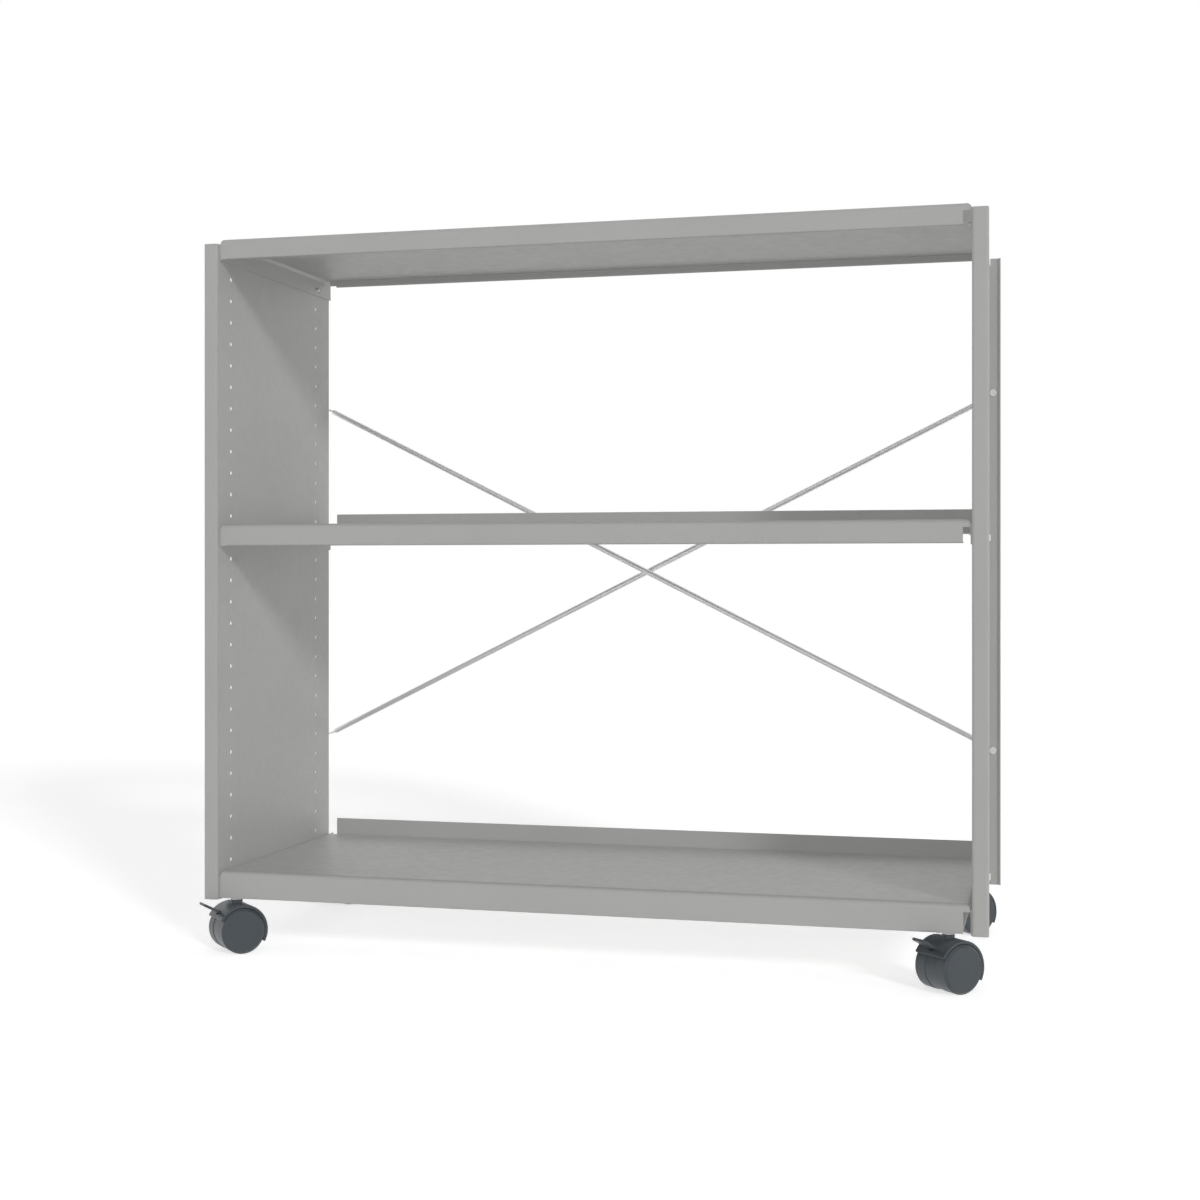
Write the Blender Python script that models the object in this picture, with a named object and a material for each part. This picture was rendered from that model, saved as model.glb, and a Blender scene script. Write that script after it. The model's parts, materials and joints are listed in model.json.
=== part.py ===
"""Low open shelf unit of folded sheet steel on four braked swivel castors.

Two perforated side panels carry three bolted shelves. A cross brace of two rods stands behind the panels, and
the castors are screwed into channels under the bottom shelf. Metres, +Z up, front towards -Y. The origin is on
the floor, under the middle of the whole unit with its brace and castors.
"""

import math

import bmesh
import bpy
from mathutils import Matrix, Vector

MM = 0.001
GAP = 0.3  # between pieces that touch on the real object, in millimetres like every size below
BORE_GAP = 0.35  # between a round piece and its hole
BEND_STEPS = 3
SMOOTH_ANGLE = 35.0

# Side panels
WIDTH = 882.5  # over the outer faces of both panels
DEPTH = 330.0
PANELS_FORWARD = 9.5  # middle of the panels to the middle of the whole unit, which reaches further back
PANEL_HEIGHT = 752.5
PANEL_SHEET = 1.0
PANEL_BEND = 2.6  # radius of a fold, at the middle of the sheet
PANEL_FLANGE = 17.1  # outer face to the web's inner face
FRONT_LIP = 12.0
REAR_LIP = 5.0
HOLE_DIAMETER = 5.0
HOLE_PITCH = 25.0
HOLE_FIRST = 16.2  # panel's lower edge to the lowest hole
HOLE_TOP_MARGIN = 10.0
HOLE_FRONT = 36.3  # front face to the front column of holes
HOLE_REAR = 44.0  # rear face to the rear column of holes
HOLE_SIDES = 8

# Shelves
SHELF_SHEET = 1.2
SHELF_BEND = 5.0
SHELF_SETBACK = 5.0  # panel's front face to the shelf's front face
SHELF_REAR_GAP = 8.8  # panel's rear face to the shelf's rear face
FRONT_GAP = 0.8  # web to the ends of the shelf's front flange
NOTCH_WIDTH = 9.3  # of the cut-out in the flange's right end
NOTCH_DROP = 8.3  # deck to the cut-out
REAR_NOTCH = 14.7  # web to the end of the shelf's rear upstand
END_SETBACK = 0.5  # front and rear fold lines to the ends of the shelf's end folds
END_EXTRA = 1.3  # how much lower the end flange reaches than the front flange
SHELF_LIP = 12.0
LIP_BEND = 1.2
LIP_RELIEF = 2.5  # channel to the end of the bottom shelf's lip
UPSTAND = 20.5
HEM_DROP = 9.3  # deck to the bottom of the rear hem
HEM_BEND = 1.3
TOP_FRONT = 23.2  # height of each shelf's front flange
MIDDLE_FRONT = 24.8
BOTTOM_FRONT = 31.0
TOP_DECK_RISE = 16.9  # each shelf's bolts to its deck
MIDDLE_DECK_RISE = 14.5
BOTTOM_DECK_RISE = 16.2
MIDDLE_SHELF_HOLE = 16  # counted from the lowest hole
SLOT_LENGTH = 18.0

# Shelf bolts
BOLT_DIAMETER = 4.0
BOLT_HEAD_DIAMETER = 8.0
BOLT_HEAD = 5.5
BOLT_REACH = 3.0  # beyond the shelf's end flange
BOLT_SIDES = 12

# Cross brace
ROD_DIAMETER = 7.0
ROD_BACK = 21.0  # panel's rear face to the middle of the nearer rod
ROD_CLEARANCE = 1.0  # between the rods where they cross
ROD_END = 5.1  # bush's axis to the blunt end of the rod
ROD_SIDES = 10
WIRE_DIAMETER = 3.0
WIRE_BEND = 3.5
WIRE_REACH = 5.0  # into the bush
BRACE_OFFSET = 0.4  # middle of the panel's flange to the bushes, away from the outer face
BRACE_RISE = 215.0  # panel's middle height to the bushes
BUSH_DIAMETER = 7.0
BUSH_HEAD_DIAMETER = 8.6
BUSH_HEAD = 1.2
BUSH_BACK = 8.0  # how far the bush stands out behind the panel

# Castors
WHEEL_DIAMETER = 52.0
WHEEL_BEVEL = 2.8
WHEEL_SIDES = 24
CASTOR_WIDTH = 50.0  # over the outer faces of both wheels
CASTOR_OFFSET = -3.0  # middle of a channel to its castors; both channels are alike, not mirrored
CASTOR_TURN = 225.0  # degrees from +X to the side that the brake lever is on
WEB = 14.0  # middle of the hood, between the wheels
WEB_CLEARANCE = 0.8  # how much lower the wheels reach than the web
RUN_GAP = 0.4
HOOD_GAP = 0.5  # tread to the hood
HOOD_WALL = 3.2
HOOD_WIDTH = 49.6
HOOD_FRONT_ANGLE = 28.0  # degrees above the axle, on the lever's side
HOOD_REAR_ANGLE = 208.5
HOOD_STEPS = 20
AXLE_DIAMETER = 6.0
AXLE_IN_WHEEL = 11.0
BORE_SIDES = 12
NECK_DIAMETER = 13.4
NECK_HEIGHT = 5.3  # top of the hood to the channel above it
STEM_DIAMETER = 8.0
STEM_IN_HOOD = 20.0
STEM_COLLAR_DIAMETER = 13.0
STEM_COLLAR = 1.2
STEM_ABOVE_RAIL = 12.0
LEVER_WIDTH = 20.0
LEVER_THICKNESS = 3.0
LEVER_LENGTH = 28.3  # pivot to tip
LEVER_ANGLE = 28.0  # degrees above the horizontal, with the brake off
LEVER_PIVOT_DEPTH = 5.2  # hood's outer face to the pivot
LEVER_PIVOT_ANGLE = 47.6
LEVER_NECK = 7.6  # pivot to where the lever widens
LEVER_ROUND = 3.0
TONGUE_WIDTH = 8.0
TONGUE_THINNER = 0.1  # on each face, against the pedal
BARREL_DIAMETER = 5.0
PIVOT_DIAMETER = 2.6
PIVOT_SIDES = 8
POCKET_SPARE = 1.9  # above and below the lever, for its travel

# Channels that the castors are screwed into
RAIL_FROM_WEB = 21.5  # panel's web to the middle of the channel
RAIL_WIDTH = 25.0
RAIL_SHEET = 2.0
RAIL_BEND = 2.5
RAIL_RISE = 1.3  # panel's lower edge to the underside of the channel
RAIL_OVERHANG = 10.5  # how far the channel reaches behind the panel
RAIL_WALL_GAP = 2.4  # the channel's high walls to the shelf's front fold and rear hem
RAIL_END = 5.5  # swivel axis to the end of the channel

# Heights and places that follow from the sizes above
WHEEL_RADIUS = WHEEL_DIAMETER / 2
AXLE_HEIGHT = WHEEL_RADIUS * math.cos(math.pi / WHEEL_SIDES)  # a wheel stands on one of its flats
HOOD_INNER = WHEEL_RADIUS + HOOD_GAP
HOOD_OUTER = HOOD_INNER + HOOD_WALL
RAIL_BOTTOM = AXLE_HEIGHT + HOOD_OUTER + NECK_HEIGHT
NECK_TOP = RAIL_BOTTOM - GAP - STEM_COLLAR - GAP
NECK_LOW = NECK_TOP - STEM_IN_HOOD
PANEL_BOTTOM = RAIL_BOTTOM - RAIL_RISE
PANEL_FRONT = -DEPTH / 2 - PANELS_FORWARD
PANEL_REAR = DEPTH / 2 - PANELS_FORWARD
WEB_INNER = WIDTH / 2 - PANEL_FLANGE  # inner face of a panel's web, from the middle
HOLE_COUNT = 1 + int((PANEL_HEIGHT - HOLE_FIRST - HOLE_TOP_MARGIN) // HOLE_PITCH)
HOLE_HEIGHTS = [PANEL_BOTTOM + HOLE_FIRST + number * HOLE_PITCH for number in range(HOLE_COUNT)]
HOLE_COLUMNS = {"front": PANEL_FRONT + HOLE_FRONT, "rear": PANEL_REAR - HOLE_REAR}
SHELF_FRONT = PANEL_FRONT + SHELF_SETBACK
SHELF_REAR = PANEL_REAR - SHELF_REAR_GAP
HEM_FRONT = SHELF_REAR - 2 * HEM_BEND - SHELF_SHEET
FRONT_HALF = WEB_INNER - FRONT_GAP
REAR_HALF = WEB_INNER - REAR_NOTCH
RAIL_FRONT = SHELF_FRONT + SHELF_SHEET + GAP
RAIL_REAR = PANEL_REAR + RAIL_OVERHANG
RAIL_WALLS = (SHELF_FRONT + SHELF_SHEET + SHELF_BEND + RAIL_WALL_GAP, HEM_FRONT - RAIL_WALL_GAP)
RAIL_X = WEB_INNER - RAIL_FROM_WEB
CASTOR_ROWS = {"front": RAIL_FRONT + RAIL_END, "rear": RAIL_REAR - RAIL_END}
BRACE_X = WIDTH / 2 - PANEL_FLANGE / 2 - BRACE_OFFSET
BRACE_MIDDLE = PANEL_BOTTOM + PANEL_HEIGHT / 2
BRACE_LEVELS = {"upper": BRACE_MIDDLE + BRACE_RISE, "lower": BRACE_MIDDLE - BRACE_RISE}
PIVOT_RADIUS = HOOD_OUTER - LEVER_PIVOT_DEPTH
PIVOT_X = PIVOT_RADIUS * math.cos(math.radians(LEVER_PIVOT_ANGLE))
PIVOT_HEIGHT = AXLE_HEIGHT + PIVOT_RADIUS * math.sin(math.radians(LEVER_PIVOT_ANGLE))
SIDES = {"left": -1, "right": 1}
UPPER_LIP = WEB_INNER - NOTCH_WIDTH
# Each shelf's bolt height, deck over the bolts, height of its front flange, and half the length of its lip
SHELVES = {
    "top": (HOLE_HEIGHTS[-1], TOP_DECK_RISE, TOP_FRONT, UPPER_LIP),
    "middle": (HOLE_HEIGHTS[MIDDLE_SHELF_HOLE], MIDDLE_DECK_RISE, MIDDLE_FRONT, UPPER_LIP),
    "bottom": (HOLE_HEIGHTS[0], BOTTOM_DECK_RISE, BOTTOM_FRONT, RAIL_X - RAIL_WIDTH / 2 - LIP_RELIEF),
}


def clear_scene():
    for obj in list(bpy.data.objects):
        bpy.data.objects.remove(obj, do_unlink=True)


def finish(name, color, roughness, metallic):
    made = bpy.data.materials.new(name)
    made.use_nodes = True
    shader = made.node_tree.nodes["Principled BSDF"]
    shader.inputs["Base Color"].default_value = (*color, 1.0)
    shader.inputs["Roughness"].default_value = roughness
    shader.inputs["Metallic"].default_value = metallic
    return made


def place(name, mesh, material, parent=None, at=(0, 0, 0), turn=(0, 0, 0)):
    """Adds an object. Its place is in millimetres and its turn in degrees."""
    if not mesh.materials:
        mesh.materials.append(material)
    obj = bpy.data.objects.new(name, mesh)
    bpy.context.scene.collection.objects.link(obj)
    obj.parent = parent
    obj.location = [c * MM for c in at]
    obj.rotation_euler = [math.radians(angle) for angle in turn]
    return obj


def smoothed(mesh):
    mesh.shade_smooth()
    mesh.set_sharp_from_angle(angle=math.radians(SMOOTH_ANGLE))
    return mesh


def mesh_of(bm, name):
    """The shape's mesh, with its faces pointing out and its round sides smooth."""
    bmesh.ops.recalc_face_normals(bm, faces=bm.faces)
    mesh = bpy.data.meshes.new(name)
    bm.to_mesh(mesh)
    bm.free()
    return smoothed(mesh)


def helper(mesh):
    obj = bpy.data.objects.new(mesh.name, mesh)
    bpy.context.scene.collection.objects.link(obj)
    return obj


def baked(obj):
    """The object's mesh with its modifiers applied. The object itself goes."""
    bpy.context.view_layer.update()
    graph = bpy.context.evaluated_depsgraph_get()
    mesh = bpy.data.meshes.new_from_object(obj.evaluated_get(graph), depsgraph=graph)
    mesh.name = obj.name
    bpy.data.objects.remove(obj, do_unlink=True)
    return smoothed(mesh)


def combined(mesh, other, operation):
    """The mesh joined with the other one, or cut by it."""
    base = helper(mesh)
    tool = helper(other)
    boolean = base.modifiers.new(operation.lower(), "BOOLEAN")
    boolean.operation = operation
    boolean.solver = "EXACT"
    boolean.object = tool
    result = baked(base)
    bpy.data.objects.remove(tool, do_unlink=True)
    return result


class Sheet:
    """The middle surface of a folded sheet. Folds that meet share their corners."""

    def __init__(self):
        self.bm = bmesh.new()
        self.corners = {}

    def corner(self, point):
        key = tuple(round(c, 3) for c in point)
        if key not in self.corners:
            self.corners[key] = self.bm.verts.new([c * MM for c in key])
        return self.corners[key]

    def fold(self, rows):
        """Adds the faces between neighbouring rows of points."""
        for row, following in zip(rows, rows[1:]):
            for i in range(len(row) - 1):
                loop = (row[i], row[i + 1], following[i + 1], following[i])
                self.bm.faces.new([self.corner(point) for point in loop])

    def thickened(self, name, thickness):
        obj = helper(mesh_of(self.bm, name))
        solidify = obj.modifiers.new("sheet", "SOLIDIFY")
        solidify.thickness = thickness * MM
        solidify.offset = 0
        solidify.use_even_offset = True
        return baked(obj)


def rounded(points, radius):
    """The line through the points, with an arc in place of each inner corner."""
    line = [Vector(points[0])]
    for before, corner, after in zip(points, points[1:], points[2:]):
        corner = Vector(corner)
        back = (Vector(before) - corner).normalized()
        ahead = (Vector(after) - corner).normalized()
        half = back.angle(ahead) / 2
        centre = corner + (back + ahead).normalized() * radius / math.sin(half)
        start = corner + back * radius / math.tan(half) - centre
        end = corner + ahead * radius / math.tan(half) - centre
        for step in range(BEND_STEPS + 1):
            line.append(centre + start.slerp(end, step / BEND_STEPS).normalized() * radius)
    line.append(Vector(points[-1]))
    return [line[0]] + [b for a, b in zip(line, line[1:]) if (b - a).length > GAP / 10]


def arc(radius, start, end, steps):
    """Points of an arc about the origin, with angles in degrees."""
    angles = [math.radians(start + (end - start) * step / steps) for step in range(steps + 1)]
    return [(radius * math.cos(angle), radius * math.sin(angle)) for angle in angles]


def add_prism(bm, outline, half, matrix):
    """Adds an outline of X and Z, drawn out to both sides along Y."""
    near = [bm.verts.new(matrix @ Vector((x, -half, z)) * MM) for x, z in outline]
    far = [bm.verts.new(matrix @ Vector((x, half, z)) * MM) for x, z in outline]
    bm.faces.new(near)
    bm.faces.new(reversed(far))
    for i in range(len(outline)):
        bm.faces.new((near[i - 1], far[i - 1], far[i], near[i]))


def add_cylinder(bm, centre, axis, radius, length, sides):
    """Adds a closed cylinder about its centre."""
    turn = Vector((0, 0, 1)).rotation_difference(Vector(axis)).to_matrix().to_4x4()
    bmesh.ops.create_cone(
        bm, cap_ends=True, segments=sides, radius1=radius * MM, radius2=radius * MM, depth=length * MM,
        matrix=Matrix.Translation(Vector(centre) * MM) @ turn)


def add_sides(bm, rings, sides):
    """Adds the faces between neighbouring rings. A ring may be a single corner."""
    for ring, following in zip(rings, rings[1:]):
        for i in range(sides):
            loop = [ring[(i - 1) % len(ring)], ring[i % len(ring)]]
            loop += [following[i % len(following)], following[(i - 1) % len(following)]]
            bm.faces.new(list(dict.fromkeys(loop)))


def turned(name, profile, sides):
    """A shape turned about Z from radii and heights, with a flat towards each axis."""
    bm = bmesh.new()
    rings = []
    for radius, height in profile:
        points = arc(radius, 180 / sides, 180 / sides + 360, sides)[:sides if radius else 1]
        rings.append([bm.verts.new((x * MM, y * MM, height * MM)) for x, y in points])
    add_sides(bm, rings, sides)
    return mesh_of(bm, name)


def heading(points, i):
    """Direction of a line at one of its points, from the nearest points that lie elsewhere."""
    here = points[i]
    earlier = [here - p for p in points[:i] if p != here][-1:]
    later = [p - here for p in points[i:] if p != here][:1]
    return sum((arm.normalized() for arm in earlier + later), Vector()).normalized()


def swept(name, points, radii, sides):
    """A round bar along the points. A point given twice makes a step from one radius to the next."""
    bm = bmesh.new()
    rings = []
    across = heading(points, 0).orthogonal()
    for i, (point, radius) in enumerate(zip(points, radii)):
        along = heading(points, i)
        across = (across - along * across.dot(along)).normalized()
        side = along.cross(across)
        ring = [point + across * x + side * y for x, y in arc(radius, 0, 360, sides)[:sides]]
        rings.append([bm.verts.new(p * MM) for p in ring])
    bm.faces.new(rings[0])
    bm.faces.new(reversed(rings[-1]))
    add_sides(bm, rings, sides)
    return mesh_of(bm, name)


def panel_mesh(side):
    """A side panel: a web with two flanges folded outwards and a lip at the edge of each."""
    middle = PANEL_SHEET / 2
    web_x = WEB_INNER + middle
    outer_x = WIDTH / 2 - middle
    section = rounded([
        (PANEL_FRONT + FRONT_LIP, outer_x),
        (PANEL_FRONT + middle, outer_x),
        (PANEL_FRONT + middle, web_x),
        (PANEL_REAR - middle, web_x),
        (PANEL_REAR - middle, outer_x),
        (PANEL_REAR - REAR_LIP, outer_x)], PANEL_BEND)
    sheet = Sheet()
    ends = (PANEL_BOTTOM, PANEL_BOTTOM + PANEL_HEIGHT)
    sheet.fold([[(side * x, y, z) for z in ends] for y, x in section])
    cutter = bmesh.new()
    length = 4 * PANEL_SHEET
    for y in HOLE_COLUMNS.values():
        for z in HOLE_HEIGHTS:
            add_cylinder(cutter, (side * web_x, y, z), (1, 0, 0), HOLE_DIAMETER / 2, length, HOLE_SIDES)
    bush_hole = BUSH_DIAMETER / 2 + BORE_GAP
    for z in BRACE_LEVELS.values():
        add_cylinder(cutter, (side * BRACE_X, PANEL_REAR - middle, z), (0, 1, 0), bush_hole, length, BORE_SIDES)
    return combined(sheet.thickened("side_panel", PANEL_SHEET), mesh_of(cutter, "panel_holes"), "DIFFERENCE")


def slot_outline():
    """A slot with round ends, as wide as a bolt hole."""
    reach = (SLOT_LENGTH - HOLE_DIAMETER) / 2
    right = [(reach + x, z) for x, z in arc(HOLE_DIAMETER / 2, -90, 90, HOLE_SIDES // 2)]
    return right + [(-x, -z) for x, z in right]


def shelf_mesh(bolt_height, deck_rise, front_height, lip_half):
    """A shelf: a deck with flanges folded down at the front and ends, and a hemmed upstand at the rear."""
    middle = SHELF_SHEET / 2
    deck_top = bolt_height + deck_rise
    deck = deck_top - middle
    front_edge = deck_top - front_height + middle
    front_y = SHELF_FRONT + middle
    upstand_y = SHELF_REAR - middle
    hem_y = HEM_FRONT + middle
    hem_z = deck_top - HEM_DROP + middle
    end_x = WEB_INNER - GAP - middle
    notch_x = WEB_INNER - NOTCH_WIDTH
    notch = (front_y, deck_top - NOTCH_DROP)
    front_line = front_y + SHELF_BEND
    rear_line = hem_y - HEM_BEND
    end_line = end_x - SHELF_BEND
    end_ys = (front_line + END_SETBACK, rear_line - END_SETBACK)
    halves = sorted({lip_half, notch_x, REAR_HALF, FRONT_HALF, end_line})
    xs = [-x for x in reversed(halves)] + halves

    def across(left, right, line):
        return [[(x, y, z) for x in xs if -left <= x <= right] for y, z in line]

    sheet = Sheet()
    sheet.fold(across(end_line, end_line, [(y, deck) for y in (front_line, *end_ys, rear_line)]))
    front = rounded([(front_line + SHELF_BEND, deck), (front_y, deck), notch], SHELF_BEND)[1:]
    rows = across(FRONT_HALF, FRONT_HALF, front)
    # The bend widens from the deck down to the flange, so each front corner is round.
    for step, row in enumerate(rows[:BEND_STEPS]):
        reach = end_line + (FRONT_HALF - end_line) * math.sin(math.pi / 2 * (step + 1) / (BEND_STEPS + 1))
        for i, side in ((0, -1), (-1, 1)):
            row[i] = (side * reach, *row[i][1:])
    sheet.fold(rows)
    lower = rounded([notch, (front_y, front_edge), (SHELF_FRONT + SHELF_LIP, front_edge)], LIP_BEND)
    sheet.fold(across(FRONT_HALF, notch_x, lower[:2]))
    sheet.fold(across(lip_half, lip_half, lower[1:]))
    # Beside the lip the flange goes straight down to the height of the lip's lower face.
    for start, stop in ((-FRONT_HALF, -lip_half), (lip_half, notch_x)):
        beside = [x for x in xs if start <= x <= stop]
        sheet.fold([[(x, y, z) for x in beside] for y, z in (lower[1], (front_y, front_edge - middle))])
    rear = rounded([
        (rear_line - HEM_BEND, deck),
        (hem_y, deck),
        (hem_y, hem_z),
        (upstand_y, hem_z),
        (upstand_y, deck_top + UPSTAND)], HEM_BEND)[1:]
    sheet.fold(across(end_line, end_line, rear[:BEND_STEPS + 2]))
    sheet.fold(across(REAR_HALF, REAR_HALF, rear[BEND_STEPS + 1:]))
    end = rounded([
        (end_line - SHELF_BEND, deck),
        (end_x, deck),
        (end_x, deck_top - front_height - END_EXTRA)], SHELF_BEND)[1:]
    for side in SIDES.values():
        ys = (*end_ys, PANEL_REAR)
        sheet.fold([[(side * x, y, z) for y in ys] for x, z in end[:-1]])
        ys = (SHELF_FRONT + SHELF_SHEET + GAP, *ys)
        sheet.fold([[(side * x, y, z) for y in ys] for x, z in end[-2:]])

    cutter = bmesh.new()
    length = 4 * SHELF_SHEET
    for side in SIDES.values():
        hole = (side * end_x, HOLE_COLUMNS["front"], bolt_height)
        add_cylinder(cutter, hole, (1, 0, 0), HOLE_DIAMETER / 2, length, HOLE_SIDES)
        slot = Matrix.Translation((side * end_x, HOLE_COLUMNS["rear"], bolt_height))
        add_prism(cutter, slot_outline(), length / 2, slot @ Matrix.Rotation(math.pi / 2, 4, "Z"))
    return combined(sheet.thickened("shelf", SHELF_SHEET), mesh_of(cutter, "shelf_holes"), "DIFFERENCE")


def bolt_mesh():
    """A shelf bolt, turned about Z: its head above, its shank below."""
    length = GAP + PANEL_SHEET + GAP + SHELF_SHEET + BOLT_REACH
    head = BOLT_HEAD_DIAMETER / 2
    shank = BOLT_DIAMETER / 2
    return turned("shelf_bolt", [
        (0, -length), (shank, -length), (shank, 0), (head, 0), (head, BOLT_HEAD - shank / 2), (shank, BOLT_HEAD),
        (0, BOLT_HEAD)], BOLT_SIDES)


def bush_mesh():
    """A brace bush, turned about Z: its head inside the panel's rear flange, its socket open to the rear."""
    head = BUSH_HEAD_DIAMETER / 2
    outer = BUSH_DIAMETER / 2
    socket = WIRE_DIAMETER / 2 + BORE_GAP
    back = GAP + PANEL_SHEET + BUSH_BACK
    socket_end = back - WIRE_REACH - GAP
    return turned("brace_bush", [
        (0, -BUSH_HEAD), (head, -BUSH_HEAD), (head, 0), (outer, 0), (outer, back), (socket, back),
        (socket, socket_end), (0, socket_end)], BORE_SIDES)


def brace_rod_mesh(left_height, right_height, back):
    """A brace rod between the panels, with a thin hook at each end that enters a bush."""
    left = Vector((-BRACE_X, PANEL_REAR + back, left_height))
    right = Vector((BRACE_X, PANEL_REAR + back, right_height))
    along = (right - left).normalized()
    rearward = Vector((0, 1, 0))
    reach = back - BUSH_BACK + WIRE_REACH
    ends = []
    for corner, inward in ((left, along), (right, -along)):
        centre = corner + (inward - rearward) * WIRE_BEND
        bend = [centre - inward * x + rearward * y for x, y in arc(WIRE_BEND, 0, 90, BEND_STEPS)]
        ends.append([corner - rearward * reach] + bend + [corner + inward * ROD_END] * 2)
    radii = [WIRE_DIAMETER / 2] * (len(ends[0]) - 1) + [ROD_DIAMETER / 2]
    return swept("brace_rod", ends[0] + ends[1][::-1], radii + radii[::-1], ROD_SIDES)


def rail_mesh(side):
    """A channel under the bottom shelf, with a hole for a castor's stem near each end.

    Its walls are high under the deck and low under the shelf's front fold and rear hem.
    """
    middle = RAIL_SHEET / 2
    half = RAIL_WIDTH / 2 - middle
    bolt_height, deck_rise, _, _ = SHELVES["bottom"]
    deck_top = bolt_height + deck_rise
    top = deck_top - SHELF_SHEET - GAP
    low = deck_top - HEM_DROP - GAP
    floor = RAIL_BOTTOM + middle
    section = rounded([(-half, low), (-half, floor), (half, floor), (half, low)], RAIL_BEND)
    x_middle = side * RAIL_X
    sheet = Sheet()
    sheet.fold([[(x_middle + x, y, z) for y in (RAIL_FRONT, *RAIL_WALLS, RAIL_REAR)] for x, z in section])
    for x in (x_middle - half, x_middle + half):
        sheet.fold([[(x, y, z) for y in RAIL_WALLS] for z in (low, top)])
    cutter = bmesh.new()
    hole = STEM_DIAMETER / 2 + BORE_GAP
    for y in CASTOR_ROWS.values():
        add_cylinder(cutter, (x_middle + CASTOR_OFFSET, y, floor), (0, 0, 1), hole, 4 * RAIL_SHEET, BORE_SIDES)
    return combined(sheet.thickened("castor_rail", RAIL_SHEET), mesh_of(cutter, "rail_holes"), "DIFFERENCE")


def stem_mesh():
    """A castor's stem: its plain end in the hood, a collar, and its thread in the channel above."""
    radius = STEM_DIAMETER / 2
    collar = STEM_COLLAR_DIAMETER / 2
    low = NECK_LOW + GAP
    top = RAIL_BOTTOM + RAIL_SHEET + STEM_ABOVE_RAIL
    return turned("castor_stem", [
        (0, low), (radius, low), (radius, NECK_TOP + GAP), (collar, NECK_TOP + GAP), (collar, RAIL_BOTTOM - GAP),
        (radius, RAIL_BOTTOM - GAP), (radius, top), (0, top)], BORE_SIDES)


def lever_turn():
    """The brake lever's lean, which the hood's pocket shares."""
    return Matrix.Rotation(-math.radians(LEVER_ANGLE), 4, "Y")


def hood_mesh():
    """A castor's hood: a fender over both wheels, a web between them, and a neck about the swivel axis."""
    start, end = HOOD_FRONT_ANGLE, HOOD_REAR_ANGLE
    inside = (end - start) / HOOD_STEPS / 3
    joint = HOOD_INNER + HOOD_WALL / 2
    about_axle = Matrix.Translation((0, 0, AXLE_HEIGHT))
    neck_height = NECK_TOP - NECK_LOW
    fender = bmesh.new()
    outline = arc(HOOD_OUTER, start, end, HOOD_STEPS) + arc(HOOD_INNER, end, start, HOOD_STEPS)
    add_prism(fender, outline, HOOD_WIDTH / 2, about_axle)
    web = bmesh.new()
    outline = arc(joint, start + inside, end - inside, HOOD_STEPS)
    outline += arc(WHEEL_RADIUS - WEB_CLEARANCE, end - inside, start + inside + 360, HOOD_STEPS)
    add_prism(web, outline, WEB / 2, about_axle)
    neck = bmesh.new()
    add_cylinder(neck, (0, 0, NECK_LOW + neck_height / 2), (0, 0, 1), NECK_DIAMETER / 2, neck_height, HOOD_STEPS)
    mesh = combined(mesh_of(fender, "castor_hood"), mesh_of(web, "castor_web"), "UNION")
    mesh = combined(mesh, mesh_of(neck, "castor_neck"), "UNION")

    bores = bmesh.new()
    through = 2 * WEB
    add_cylinder(bores, (0, 0, AXLE_HEIGHT), (0, 1, 0), AXLE_DIAMETER / 2 + BORE_GAP, through, BORE_SIDES)
    pivot = (PIVOT_X, 0, PIVOT_HEIGHT)
    add_cylinder(bores, pivot, (0, 1, 0), PIVOT_DIAMETER / 2 + BORE_GAP, through, PIVOT_SIDES)
    socket = (0, 0, NECK_LOW + neck_height)
    add_cylinder(bores, socket, (0, 0, 1), STEM_DIAMETER / 2 + BORE_GAP, 2 * neck_height, BORE_SIDES)
    mesh = combined(mesh, mesh_of(bores, "castor_bores"), "DIFFERENCE")
    pocket = bmesh.new()
    room = LEVER_THICKNESS / 2 + POCKET_SPARE
    reach = LEVER_NECK + HOOD_WALL
    outline = [(-room, -room), (reach, -room), (reach, room), (-room, room)]
    add_prism(pocket, outline, TONGUE_WIDTH / 2 + RUN_GAP, Matrix.Translation(pivot) @ lever_turn())
    return combined(mesh, mesh_of(pocket, "castor_pocket"), "DIFFERENCE")


def wheel_mesh():
    """A castor's wheel, turned about Z: a plain disc outside, a bore for the axle inside."""
    inner = WEB / 2 + RUN_GAP
    outer = CASTOR_WIDTH / 2
    bore = AXLE_DIAMETER / 2 + BORE_GAP
    bore_end = inner + AXLE_IN_WHEEL + GAP
    return turned("castor_wheel", [
        (0, bore_end), (bore, bore_end), (bore, inner), (WHEEL_RADIUS, inner), (WHEEL_RADIUS, outer - WHEEL_BEVEL),
        (WHEEL_RADIUS - WHEEL_BEVEL, outer), (0, outer)], WHEEL_SIDES)


def axle_mesh():
    reach = WEB / 2 + RUN_GAP + AXLE_IN_WHEEL
    radius = AXLE_DIAMETER / 2
    return turned("castor_axle", [(0, -reach), (radius, -reach), (radius, reach), (0, reach)], BORE_SIDES)


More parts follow.
